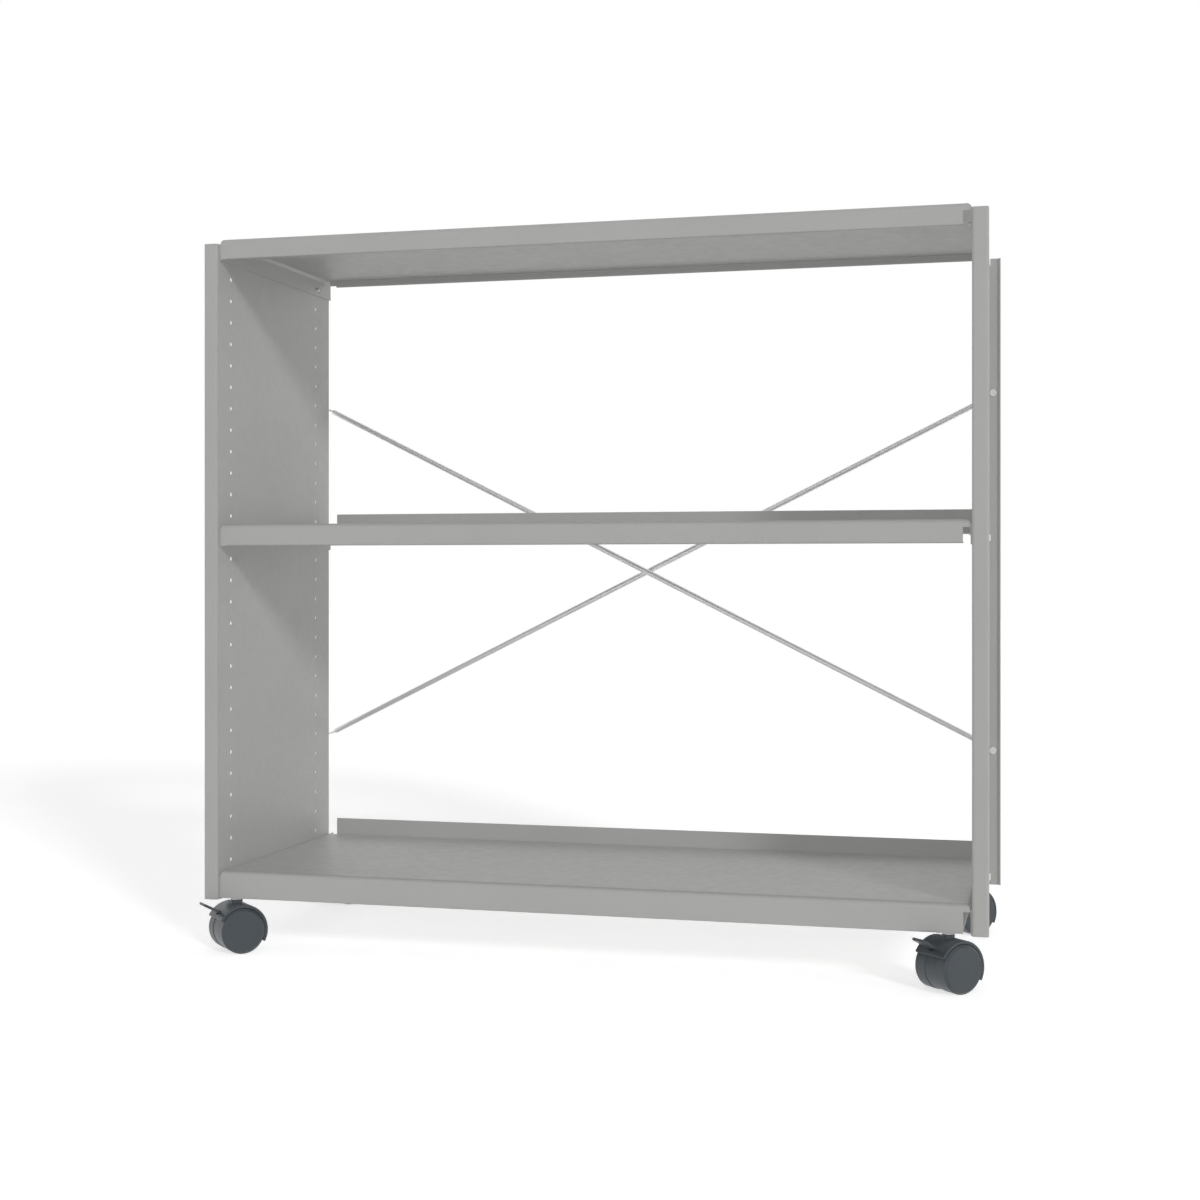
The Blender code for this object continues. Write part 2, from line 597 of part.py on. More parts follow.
def lever_mesh():
    """A brake lever about its pivot: a wide pedal, a tongue into the hood, and a barrel with two pivots."""
    half = LEVER_THICKNESS / 2
    wide = LEVER_WIDTH / 2
    flat = lever_turn() @ Matrix.Rotation(math.pi / 2, 4, "X")
    reach = LEVER_LENGTH - LEVER_ROUND
    corner = [(reach + x, wide - LEVER_ROUND + y) for x, y in arc(LEVER_ROUND, 0, 90, BEND_STEPS)]
    pedal = bmesh.new()
    outline = [(x, -y) for x, y in corner[::-1]] + corner + [(LEVER_NECK, wide), (LEVER_NECK, -wide)]
    add_prism(pedal, outline, half, flat)
    tongue = bmesh.new()
    thin = half - TONGUE_THINNER
    inside = LEVER_NECK + LEVER_THICKNESS
    add_prism(tongue, [(0, -thin), (inside, -thin), (inside, thin), (0, thin)], TONGUE_WIDTH / 2, lever_turn())
    barrel = bmesh.new()
    add_cylinder(barrel, (0, 0, 0), (0, 1, 0), BARREL_DIAMETER / 2, TONGUE_WIDTH - GAP, BORE_SIDES)
    pins = bmesh.new()
    add_cylinder(pins, (0, 0, 0), (0, 1, 0), PIVOT_DIAMETER / 2, WEB - GAP, PIVOT_SIDES)
    mesh = mesh_of(pedal, "brake_lever")
    for piece, name in ((tongue, "lever_tongue"), (barrel, "lever_barrel"), (pins, "lever_pivots")):
        mesh = combined(mesh, mesh_of(piece, name), "UNION")
    return mesh


def build_frame(paint):
    for name, side in SIDES.items():
        place("side_panel_" + name, panel_mesh(side), paint)
        place("castor_rail_" + name, rail_mesh(side), paint)
    for level, sizes in SHELVES.items():
        place("shelf_" + level, shelf_mesh(*sizes), paint)


def build_bolts(steel):
    mesh = bolt_mesh()
    head_x = WEB_INNER + PANEL_SHEET + GAP
    for level, (bolt_height, _, _, _) in SHELVES.items():
        for side_name, side in SIDES.items():
            for column, y in HOLE_COLUMNS.items():
                name = f"shelf_bolt_{level}_{side_name}_{column}"
                place(name, mesh, steel, at=(side * head_x, y, bolt_height), turn=(0, side * 90, 0))


def build_brace(steel):
    mesh = bush_mesh()
    bush_y = PANEL_REAR - PANEL_SHEET - GAP
    for side_name, side in SIDES.items():
        for level, z in BRACE_LEVELS.items():
            place(f"brace_bush_{side_name}_{level}", mesh, steel, at=(side * BRACE_X, bush_y, z), turn=(-90, 0, 0))
    upper, lower = BRACE_LEVELS["upper"], BRACE_LEVELS["lower"]
    place("brace_rod_falling", brace_rod_mesh(upper, lower, ROD_BACK), steel)
    place("brace_rod_rising", brace_rod_mesh(lower, upper, ROD_BACK + ROD_DIAMETER + ROD_CLEARANCE), steel)


def build_castors(steel, plastic, tread):
    stem, hood, wheel, axle, lever = stem_mesh(), hood_mesh(), wheel_mesh(), axle_mesh(), lever_mesh()
    axle_at = (0, 0, AXLE_HEIGHT)
    for row, y in CASTOR_ROWS.items():
        for side_name, side in SIDES.items():
            name = f"castor_{row}_{side_name}"
            swivel = bpy.data.objects.new(name + "_swivel", None)
            bpy.context.scene.collection.objects.link(swivel)
            swivel.location = ((side * RAIL_X + CASTOR_OFFSET) * MM, y * MM, 0)
            swivel.rotation_euler.z = math.radians(CASTOR_TURN)
            place(name + "_stem", stem, steel, swivel)
            place(name + "_hood", hood, plastic, swivel)
            place(name + "_axle", axle, steel, swivel, axle_at, (-90, 0, 0))
            place(name + "_right_wheel", wheel, tread, swivel, axle_at, (-90, 0, 0))
            place(name + "_left_wheel", wheel, tread, swivel, axle_at, (90, 0, 0))
            place(name + "_brake_lever", lever, plastic, swivel, (PIVOT_X, 0, PIVOT_HEIGHT))


def main():
    clear_scene()
    paint = finish("grey_powder_coat", (0.36, 0.36, 0.345), 0.55, 0.0)
    steel = finish("zinc_plated_steel", (0.62, 0.62, 0.61), 0.35, 1.0)
    plastic = finish("slate_plastic", (0.083, 0.093, 0.1), 0.45, 0.0)
    tread = finish("slate_tread", (0.079, 0.088, 0.095), 0.5, 0.0)
    build_frame(paint)
    build_bolts(steel)
    build_brace(steel)
    build_castors(steel, plastic, tread)
    bpy.context.view_layer.update()


main()
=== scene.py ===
"""Looks of a low open shelf unit of folded sheet steel on four braked castors.

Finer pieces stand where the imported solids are, with procedural finishes. Around them are a pale floor, a soft key
light from the front right, even fill lights and a camera at the photograph's viewing angle. Metres, +Z up, front
towards -Y.
"""

import json
import math

import bmesh
import bpy
from mathutils import Matrix, Vector

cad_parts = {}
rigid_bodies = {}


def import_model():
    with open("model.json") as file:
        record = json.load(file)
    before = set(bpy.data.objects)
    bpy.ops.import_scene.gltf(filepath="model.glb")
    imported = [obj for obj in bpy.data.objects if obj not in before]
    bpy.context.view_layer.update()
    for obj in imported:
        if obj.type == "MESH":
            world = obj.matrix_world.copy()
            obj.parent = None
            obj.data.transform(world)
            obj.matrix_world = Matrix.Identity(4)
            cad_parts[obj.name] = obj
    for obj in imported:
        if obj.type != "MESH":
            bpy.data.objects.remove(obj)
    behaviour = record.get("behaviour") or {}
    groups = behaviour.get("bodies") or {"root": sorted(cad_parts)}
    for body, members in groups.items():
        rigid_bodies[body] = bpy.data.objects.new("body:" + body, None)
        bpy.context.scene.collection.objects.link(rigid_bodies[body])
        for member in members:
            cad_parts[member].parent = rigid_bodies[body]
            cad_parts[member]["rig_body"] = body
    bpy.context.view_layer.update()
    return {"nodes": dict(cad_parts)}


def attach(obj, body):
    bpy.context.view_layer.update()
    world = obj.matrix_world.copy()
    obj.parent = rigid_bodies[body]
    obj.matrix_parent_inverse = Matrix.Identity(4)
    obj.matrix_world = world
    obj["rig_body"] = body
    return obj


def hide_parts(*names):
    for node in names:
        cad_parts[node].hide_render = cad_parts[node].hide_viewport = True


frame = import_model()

MM = 0.001
GAP = 0.3  # between pieces that touch on the real object, in millimetres like the other sizes of pieces
BORE_GAP = 0.35  # between a round piece and its hole
SAME_POINT = 0.01  # points of a line that are nearer than this count as one
SIDES = {"left": -1, "right": 1}

# How finely the pieces are drawn
BEND_STEPS = 8
HOLE_SIDES = 24
ROUND_SIDES = 32
WHEEL_SIDES = 96
HOOD_STEPS = 72
SMOOTH_ANGLE = 35.0
SOFT_STEPS = 3

# Side panels
PANEL_OUTER = 441.25  # outer face, from the middle
PANEL_FRONT = -174.5
PANEL_REAR = 155.5
PANEL_BOTTOM = 59.478  # above the floor
PANEL_TOP = PANEL_BOTTOM + 752.5
PANEL_SHEET = 1.0
PANEL_BEND = 2.6
FRONT_LIP = 12.0
REAR_LIP = 5.0
WEB_INNER = 424.15  # inner face of a panel's web, from the middle
HOLE_DIAMETER = 5.0
HOLE_PITCH = 25.0
HOLE_COUNT = 30
HOLE_LOWEST = PANEL_BOTTOM + 16.2
HOLE_COLUMNS = {"front": PANEL_FRONT + 36.3, "rear": PANEL_REAR - 44.0}

# Shelves
SHELF_SHEET = 1.2
SHELF_BEND = 5.0
SHELF_FRONT = PANEL_FRONT + 5.0
SHELF_REAR = PANEL_REAR - 8.8
FRONT_HALF = WEB_INNER - 1.8  # middle to an end of the front flange
NOTCH_X = WEB_INNER - 9.3  # middle to the cut-out in the flange's right end
NOTCH_DROP = 8.3  # deck to the cut-out
REAR_HALF = WEB_INNER - 14.7  # middle to an end of the rear upstand
END_SETBACK = 0.5  # front and rear fold lines to where the deck and an end fold join
END_EXTRA = 1.3  # how much lower the end flange reaches than the front flange
SHELF_LIP = 12.0
LIP_BEND = 1.2
LIP_RELIEF = 2.5  # channel to the end of the bottom shelf's lip
UPSTAND = 20.5
HEM_DROP = 9.3  # deck to the bottom of the rear hem
HEM_BEND = 1.3
HEM_FRONT = SHELF_REAR - 2 * HEM_BEND - SHELF_SHEET
SLOT_LENGTH = 18.0
MIDDLE_SHELF_HOLE = 16  # counted from the lowest hole

# Shelf bolts
BOLT_DIAMETER = 4.0
BOLT_HEAD_DIAMETER = 8.0
BOLT_HEAD = 5.5
BOLT_REACH = 3.0  # beyond the shelf's end flange
BOLT_SOCKET = 3.0  # across the flats of the hexagon
BOLT_SOCKET_DEPTH = 2.5
BOLT_SOFT = 0.7
THREAD_PITCH = 0.7
THREAD_DEPTH = 0.35
THREAD_STEPS = 6  # rings in one turn

# Cross brace
ROD_DIAMETER = 7.0
ROD_PLANES = {"falling": PANEL_REAR + 21.0, "rising": PANEL_REAR + 29.0}
ROD_END = 5.1  # bush's axis to the blunt end of the rod
ROD_SOFT = 0.6
WIRE_DIAMETER = 3.0
WIRE_BEND = 3.5
WIRE_REACH = 5.0  # into the bush
BRACE_X = 432.3
BRACE_LEVELS = {"upper": 650.728, "lower": 220.728}
BUSH_DIAMETER = 7.0
BUSH_HEAD_DIAMETER = 8.6
BUSH_HEAD = 1.2
BUSH_BACK = 8.0  # how far the bush stands out behind the panel
BUSH_SOFT = 0.4

# Castors
AXLE_HEIGHT = 25.7776
WHEEL_RADIUS = AXLE_HEIGHT / math.cos(math.pi / WHEEL_SIDES)
WHEEL_BEVEL = 2.8
WHEEL_SOFT = 0.7
CASTOR_WIDTH = 50.0  # over the outer faces of both wheels
CASTOR_OFFSET = -3.0  # middle of a channel to its castors
CASTOR_ROWS = {"front": -162.5, "rear": 160.5}
CASTOR_TURN = 225.0  # degrees from +X to the side that the brake lever is on
WEB = 14.0  # width of the hood's middle part, between the wheels
WEB_RADIUS = 25.2
RUN_GAP = 0.4
HOOD_INNER = 26.2
HOOD_WALL = 3.5
HOOD_OUTER = HOOD_INNER + HOOD_WALL
HOOD_WIDTH = CASTOR_WIDTH - 2 * WHEEL_BEVEL
HOOD_FRONT_ANGLE = 28.0  # degrees above the axle, on the lever's side
HOOD_REAR_ANGLE = 208.5
HOOD_SOFT = 0.8
AXLE_DIAMETER = 6.0
AXLE_IN_WHEEL = 11.0
NECK_DIAMETER = 13.4
NECK_TOP = 58.9776
NECK_SOFT = 0.5
STEM_DIAMETER = 8.0
STEM_IN_HOOD = 20.0
NECK_LOW = NECK_TOP - STEM_IN_HOOD
STEM_COLLAR_DIAMETER = 13.0
STEM_ABOVE_RAIL = 12.0
STEM_SOFT = 0.3
LEVER_WIDTH = 20.0
LEVER_THICKNESS = 3.0
LEVER_LENGTH = 28.3
LEVER_ANGLE = 28.0  # degrees above the horizontal, with the brake off
LEVER_NECK = 7.6  # pivot to where the lever widens
LEVER_ROUND = 3.0
LEVER_SOFT = 0.8
LEVER_PIVOT = (16.5203, 43.8699)  # from the swivel axis, and above the floor
TONGUE_WIDTH = 8.0
TONGUE_THINNER = 0.1  # on each face, against the pedal
BARREL_DIAMETER = 5.0
PIVOT_DIAMETER = 2.6
POCKET_SPARE = 1.9  # around the lever's barrel, and below the lever for its travel

# Channels that the castors are screwed into
RAIL_WIDTH = 25.0
RAIL_SHEET = 2.0
RAIL_BEND = 2.5
RAIL_BOTTOM = 60.7776
RAIL_X = 402.65
RAIL_FRONT = SHELF_FRONT + SHELF_SHEET + GAP
RAIL_REAR = PANEL_REAR + 10.5
RAIL_WALL_GAP = 2.4  # shelf's front fold and rear hem to the high parts of the walls
RAIL_WALLS = (SHELF_FRONT + SHELF_SHEET + SHELF_BEND + RAIL_WALL_GAP, HEM_FRONT - RAIL_WALL_GAP)

# Each shelf's bolt height, deck over the bolts, height of its front flange, and half the length of its lip
SHELVES = {
    "top": (HOLE_LOWEST + (HOLE_COUNT - 1) * HOLE_PITCH, 16.9, 23.2, NOTCH_X),
    "middle": (HOLE_LOWEST + MIDDLE_SHELF_HOLE * HOLE_PITCH, 14.5, 24.8, NOTCH_X),
    "bottom": (HOLE_LOWEST, 16.2, 31.0, RAIL_X - RAIL_WIDTH / 2 - LIP_RELIEF),
}

# Finishes: the darkest and lightest tone, and the smoothest and roughest gloss
PAINT_TONES = ((0.316, 0.316, 0.309), (0.351, 0.351, 0.343))
PAINT_GLOSS = (0.4, 0.52)
ZINC_TONES = ((0.82, 0.825, 0.83), (0.9, 0.9, 0.89))
ZINC_GLOSS = (0.5, 0.58)
PLASTIC_TONES = ((0.03, 0.038, 0.044), (0.04, 0.048, 0.055))
PLASTIC_GLOSS = (0.28, 0.42)
WHEEL_GLOSS = (0.3, 0.44)
PATTERN_SPAN = (0.3, 0.7)  # values between which a pattern goes from one end to the other
# Noise: its scale per metre, and how many finer layers it has
PAINT_CLOUDS = (6.0, 5.0)
PAINT_PATCHES = (90.0, 3.0)
PAINT_WAVES = (230.0, 1.0)
PAINT_SPECKS = (700.0, 3.0)
ZINC_STREAKS = (900.0, 4.0)
PLASTIC_CLOUDS = (60.0, 4.0)
PLASTIC_WAVES = (400.0, 2.0)
WHEEL_CLOUDS = (70.0, 4.0)
WHEEL_LINES = (1100.0, 2.0)
# Grains: how many there are on a metre
PAINT_PEBBLES = 1300.0
ZINC_CRYSTALS = 420.0
PLASTIC_GRAIN = 1500.0
# Relief: the height of each pattern that raises the surface
PAINT_HEIGHTS = (0.018, 0.03)
ZINC_HEIGHT = 0.006
PLASTIC_HEIGHTS = (0.025, 0.03)
WHEEL_HEIGHTS = (0.015, 0.02)

# Camera, light and floor, in metres and degrees
CAMERA_AT = (0.5236, -2.1088, 0.4358)
CAMERA_YAW = 14.616
CAMERA_LENS = 55.23
CAMERA_SENSOR = 36.0
CAMERA_SHIFT = (0.0071, -0.0237)
KEY_TRAVEL = (-0.87, 1.0, -0.553)  # which way the light goes
KEY_STRENGTH = 1.15
KEY_SOFTNESS = 9.0  # the lamp's width in the sky
# Where each fill light travels, and its strength
FILLS = {
    "front": ((0, 1, 0), 1.55),
    "rear": ((0, -1, 0), 1.55),
    "left": ((1, 0, 0), 1.2),
    "right": ((-1, 0, 0), 1.2),
    "above": ((0, 0, -1), 0.58),
    "below": ((0, 0, 1), 0.26),
}
FILL_SOFTNESS = 60.0
AMBIENT = 0.105  # strength of the surround's light
FLOOR_SIZE = 30.0
FLOOR_COLOR = (0.9, 0.9, 0.9, 1.0)
FLOOR_LIFT = 0.46  # the floor's own brightness where it is seen


def arc(radius, start, end, steps):
    """Points of an arc about the origin, with angles in degrees."""
    angles = [math.radians(start + (end - start) * step / steps) for step in range(steps + 1)]
    return [(radius * math.cos(angle), radius * math.sin(angle)) for angle in angles]


def rounded(points, radius):
    """The line through the points, with an arc in place of each inner corner."""
    line = [Vector(points[0])]
    for before, corner, after in zip(points, points[1:], points[2:]):
        corner = Vector(corner)
        back = (Vector(before) - corner).normalized()
        ahead = (Vector(after) - corner).normalized()
        half = back.angle(ahead) / 2
        centre = corner + (back + ahead).normalized() * radius / math.sin(half)
        start = corner + back * radius / math.tan(half) - centre
        end = corner + ahead * radius / math.tan(half) - centre
        for step in range(BEND_STEPS + 1):
            line.append(centre + start.slerp(end, step / BEND_STEPS).normalized() * radius)
    line.append(Vector(points[-1]))
    return [line[0]] + [b for a, b in zip(line, line[1:]) if (b - a).length > SAME_POINT]


def smoothed(mesh):
    mesh.shade_smooth()
    mesh.set_sharp_from_angle(angle=math.radians(SMOOTH_ANGLE))
    return mesh


def mesh_of(bm, name):
    """The shape's mesh, with its faces pointing out and its round sides smooth."""
    bmesh.ops.recalc_face_normals(bm, faces=bm.faces)
    mesh = bpy.data.meshes.new(name)
    bm.to_mesh(mesh)
    bm.free()
    return smoothed(mesh)


def helper(mesh):
    obj = bpy.data.objects.new(mesh.name, mesh)
    bpy.context.scene.collection.objects.link(obj)
    return obj


def baked(obj):
    """The object's mesh with its modifiers applied. The object itself goes."""
    bpy.context.view_layer.update()
    graph = bpy.context.evaluated_depsgraph_get()
    mesh = bpy.data.meshes.new_from_object(obj.evaluated_get(graph), depsgraph=graph)
    mesh.name = obj.name
    bpy.data.objects.remove(obj, do_unlink=True)
    return smoothed(mesh)


def combined(mesh, other, operation):
    """The mesh joined with the other one, or cut by it."""
    base = helper(mesh)
    tool = helper(other)
    boolean = base.modifiers.new(operation.lower(), "BOOLEAN")
    boolean.operation = operation
    boolean.solver = "EXACT"
    boolean.object = tool
    result = baked(base)
    bpy.data.objects.remove(tool, do_unlink=True)
    return result


class Sheet:
    """The middle surface of a folded sheet. Folds that meet share their corners."""

    def __init__(self):
        self.bm = bmesh.new()
        self.corners = {}

    def corner(self, point):
        key = tuple(round(c, 3) for c in point)
        if key not in self.corners:
            self.corners[key] = self.bm.verts.new([c * MM for c in key])
        return self.corners[key]

    def fold(self, rows):
        """Adds the faces between neighbouring rows of points."""
        for row, following in zip(rows, rows[1:]):
            for i in range(len(row) - 1):
                loop = (row[i], row[i + 1], following[i + 1], following[i])
                self.bm.faces.new([self.corner(point) for point in loop])

    def thickened(self, name, thickness):
        obj = helper(mesh_of(self.bm, name))
        solidify = obj.modifiers.new("sheet", "SOLIDIFY")
        solidify.thickness = thickness * MM
        solidify.offset = 0
        solidify.use_even_offset = True
        return baked(obj)


def soften(bm, size):
    """Rounds the sharp edges of a shape."""
    limit = math.radians(SMOOTH_ANGLE)
    sharp = [edge for edge in bm.edges if edge.calc_face_angle(0) > limit]
    bmesh.ops.bevel(
        bm, geom=sharp, offset=size * MM, offset_type="OFFSET", segments=SOFT_STEPS, profile=0.5, affect="EDGES",
        clamp_overlap=True)


def add_prism(bm, outline, half, matrix):
    """Adds an outline of X and Z, drawn out to both sides along Y."""
    near = [bm.verts.new(matrix @ Vector((x, -half, z)) * MM) for x, z in outline]
    far = [bm.verts.new(matrix @ Vector((x, half, z)) * MM) for x, z in outline]
    bm.faces.new(near)
    bm.faces.new(reversed(far))
    for i in range(len(outline)):
        bm.faces.new((near[i - 1], far[i - 1], far[i], near[i]))


def prism(name, outline, half, matrix, soft=0):
    bm = bmesh.new()
    add_prism(bm, outline, half, matrix)
    bmesh.ops.recalc_face_normals(bm, faces=bm.faces)
    if soft:
        soften(bm, soft)
    return mesh_of(bm, name)


def add_cylinder(bm, centre, axis, radius, length, sides):
    """Adds a closed cylinder about its centre."""
    lean = Vector((0, 0, 1)).rotation_difference(Vector(axis)).to_matrix().to_4x4()
    bmesh.ops.create_cone(
        bm, cap_ends=True, segments=sides, radius1=radius * MM, radius2=radius * MM, depth=length * MM,
        matrix=Matrix.Translation(Vector(centre) * MM) @ lean)


def add_sides(bm, rings, sides):
    """Adds the faces between neighbouring rings. A ring may be a single corner."""
    for ring, following in zip(rings, rings[1:]):
        for i in range(sides):
            loop = [ring[(i - 1) % len(ring)], ring[i % len(ring)]]
            loop += [following[i % len(following)], following[(i - 1) % len(following)]]
            bm.faces.new(list(dict.fromkeys(loop)))


def distance(radius, height, angle, form):
    """How far a turned shape reaches at an angle: on a circle, on a hexagon, or on a screw thread."""
    if form == "hexagon":
        return radius / math.cos((angle + math.pi / 6) % (math.pi / 3) - math.pi / 6)
    if form == "thread":
        phase = (height / THREAD_PITCH - angle / math.tau) % 1
        return radius - THREAD_DEPTH * abs(2 * phase - 1)
    return radius


def turned(name, profile, sides):
    """A shape turned about Z from radii, heights and, where it isn't round, a form."""
    bm = bmesh.new()
    rings = []
    for radius, height, *form in profile:
        ring = []
        for i in range(sides if radius else 1):
            angle = math.tau * (i + 0.5) / sides
            reach = distance(radius, height, angle, *(form or ["circle"]))
            ring.append(bm.verts.new((reach * math.cos(angle) * MM, reach * math.sin(angle) * MM, height * MM)))
        rings.append(ring)
    add_sides(bm, rings, sides)
    return mesh_of(bm, name)


def heading(points, i):
    """Direction of a line at one of its points, from the nearest points that lie elsewhere."""
    here = points[i]
    earlier = [here - p for p in points[:i] if p != here][-1:]
    later = [p - here for p in points[i:] if p != here][:1]
    return sum((arm.normalized() for arm in earlier + later), Vector()).normalized()


def swept(name, points, radii, sides):
    """A round bar along the points. A point given twice makes a step from one radius to the next."""
    bm = bmesh.new()
    rings = []
    across = heading(points, 0).orthogonal()
    for i, (point, radius) in enumerate(zip(points, radii)):
        along = heading(points, i)
        across = (across - along * across.dot(along)).normalized()
        side = along.cross(across)
        ring = [point + across * x + side * y for x, y in arc(radius, 0, 360, sides)[:sides]]
        rings.append([bm.verts.new(p * MM) for p in ring])
    bm.faces.new(rings[0])
    bm.faces.new(reversed(rings[-1]))
    add_sides(bm, rings, sides)
    return mesh_of(bm, name)


def panel_mesh(side):
    """A side panel: a web with two flanges folded outwards and a lip at the edge of each."""
    middle = PANEL_SHEET / 2
    web_x = WEB_INNER + middle
    outer_x = PANEL_OUTER - middle
    section = rounded([
        (PANEL_FRONT + FRONT_LIP, outer_x),
        (PANEL_FRONT + middle, outer_x),
        (PANEL_FRONT + middle, web_x),
        (PANEL_REAR - middle, web_x),
        (PANEL_REAR - middle, outer_x),
        (PANEL_REAR - REAR_LIP, outer_x)], PANEL_BEND)
    sheet = Sheet()
    sheet.fold([[(side * x, y, z) for z in (PANEL_BOTTOM, PANEL_TOP)] for y, x in section])
    cutter = bmesh.new()
    length = 4 * PANEL_SHEET
    for y in HOLE_COLUMNS.values():
        for number in range(HOLE_COUNT):
            z = HOLE_LOWEST + number * HOLE_PITCH
            add_cylinder(cutter, (side * web_x, y, z), (1, 0, 0), HOLE_DIAMETER / 2, length, HOLE_SIDES)
    bush_hole = BUSH_DIAMETER / 2 + BORE_GAP
    for z in BRACE_LEVELS.values():
        add_cylinder(cutter, (side * BRACE_X, PANEL_REAR - middle, z), (0, 1, 0), bush_hole, length, HOLE_SIDES)
    return combined(sheet.thickened("side_panel", PANEL_SHEET), mesh_of(cutter, "panel_holes"), "DIFFERENCE")


def slot_outline():
    """A slot with round ends, as wide as a bolt hole."""
    reach = (SLOT_LENGTH - HOLE_DIAMETER) / 2
    right = [(reach + x, z) for x, z in arc(HOLE_DIAMETER / 2, -90, 90, HOLE_SIDES // 2)]
    return right + [(-x, -z) for x, z in right]


def shelf_mesh(bolt_height, deck_rise, front_height, lip_half):
    """A shelf: a deck with flanges folded down at the front and ends, and a hemmed upstand at the rear."""
    middle = SHELF_SHEET / 2
    deck_top = bolt_height + deck_rise
    deck = deck_top - middle
    front_edge = deck_top - front_height + middle
    front_y = SHELF_FRONT + middle
    upstand_y = SHELF_REAR - middle
    hem_y = HEM_FRONT + middle
    hem_z = deck_top - HEM_DROP + middle
    end_x = WEB_INNER - GAP - middle
    notch = (front_y, deck_top - NOTCH_DROP)
    front_line = front_y + SHELF_BEND
    rear_line = hem_y - HEM_BEND
    end_line = end_x - SHELF_BEND
    end_ys = (front_line + END_SETBACK, rear_line - END_SETBACK)
    halves = sorted({lip_half, NOTCH_X, REAR_HALF, FRONT_HALF, end_line})
    xs = [-x for x in reversed(halves)] + halves

    def across(left, right, line):
        return [[(x, y, z) for x in xs if -left <= x <= right] for y, z in line]

    sheet = Sheet()
    sheet.fold(across(end_line, end_line, [(y, deck) for y in (front_line, *end_ys, rear_line)]))
    front = rounded([(front_line + SHELF_BEND, deck), (front_y, deck), notch], SHELF_BEND)[1:]
    rows = across(FRONT_HALF, FRONT_HALF, front)
    # The bend widens from the deck down to the flange, so each front corner is round.
    for step, row in enumerate(rows[:BEND_STEPS]):
        reach = end_line + (FRONT_HALF - end_line) * math.sin(math.pi / 2 * (step + 1) / (BEND_STEPS + 1))
        for i, side in ((0, -1), (-1, 1)):
            row[i] = (side * reach, *row[i][1:])
    sheet.fold(rows)
    lower = rounded([notch, (front_y, front_edge), (SHELF_FRONT + SHELF_LIP, front_edge)], LIP_BEND)
    sheet.fold(across(FRONT_HALF, NOTCH_X, lower[:2]))
    sheet.fold(across(lip_half, lip_half, lower[1:]))
    # Beside the lip the flange goes straight down to the height of the lip's lower face.
    for start, stop in ((-FRONT_HALF, -lip_half), (lip_half, NOTCH_X)):
        beside = [x for x in xs if start <= x <= stop]
        sheet.fold([[(x, y, z) for x in beside] for y, z in (lower[1], (front_y, front_edge - middle))])
    rear = rounded([
        (rear_line - HEM_BEND, deck),
        (hem_y, deck),
        (hem_y, hem_z),
        (upstand_y, hem_z),
        (upstand_y, deck_top + UPSTAND)], HEM_BEND)[1:]
    sheet.fold(across(end_line, end_line, rear[:BEND_STEPS + 2]))
    sheet.fold(across(REAR_HALF, REAR_HALF, rear[BEND_STEPS + 1:]))
    end = rounded([
        (end_line - SHELF_BEND, deck),
        (end_x, deck),
        (end_x, deck_top - front_height - END_EXTRA)], SHELF_BEND)[1:]
    for side in SIDES.values():
        ys = (*end_ys, PANEL_REAR)
        sheet.fold([[(side * x, y, z) for y in ys] for x, z in end[:-1]])
        ys = (SHELF_FRONT, *ys)
        sheet.fold([[(side * x, y, z) for y in ys] for x, z in end[-2:]])

    cutter = bmesh.new()
    length = 4 * SHELF_SHEET
    for side in SIDES.values():
        hole = (side * end_x, HOLE_COLUMNS["front"], bolt_height)
        add_cylinder(cutter, hole, (1, 0, 0), HOLE_DIAMETER / 2, length, HOLE_SIDES)
        slot = Matrix.Translation((side * end_x, HOLE_COLUMNS["rear"], bolt_height))
        add_prism(cutter, slot_outline(), length / 2, slot @ Matrix.Rotation(math.pi / 2, 4, "Z"))
    return combined(sheet.thickened("shelf", SHELF_SHEET), mesh_of(cutter, "shelf_holes"), "DIFFERENCE")


def rail_mesh(side):
    """A channel under the bottom shelf, with a hole for a castor's stem near each end.

    Its walls are high under the deck and low under the shelf's front fold and rear hem.
    """
    middle = RAIL_SHEET / 2
    half = RAIL_WIDTH / 2 - middle
    bolt_height, deck_rise, _, _ = SHELVES["bottom"]
    deck_top = bolt_height + deck_rise
    top = deck_top - SHELF_SHEET - GAP
    low = deck_top - HEM_DROP - GAP
    floor = RAIL_BOTTOM + middle
    section = rounded([(-half, low), (-half, floor), (half, floor), (half, low)], RAIL_BEND)
    x_middle = side * RAIL_X
    sheet = Sheet()
    sheet.fold([[(x_middle + x, y, z) for y in (RAIL_FRONT, *RAIL_WALLS, RAIL_REAR)] for x, z in section])
    for x in (x_middle - half, x_middle + half):
        sheet.fold([[(x, y, z) for y in RAIL_WALLS] for z in (low, top)])
    cutter = bmesh.new()
    hole = STEM_DIAMETER / 2 + BORE_GAP
    for y in CASTOR_ROWS.values():
        add_cylinder(cutter, (x_middle + CASTOR_OFFSET, y, floor), (0, 0, 1), hole, 4 * RAIL_SHEET, HOLE_SIDES)
    return combined(sheet.thickened("castor_rail", RAIL_SHEET), mesh_of(cutter, "rail_holes"), "DIFFERENCE")


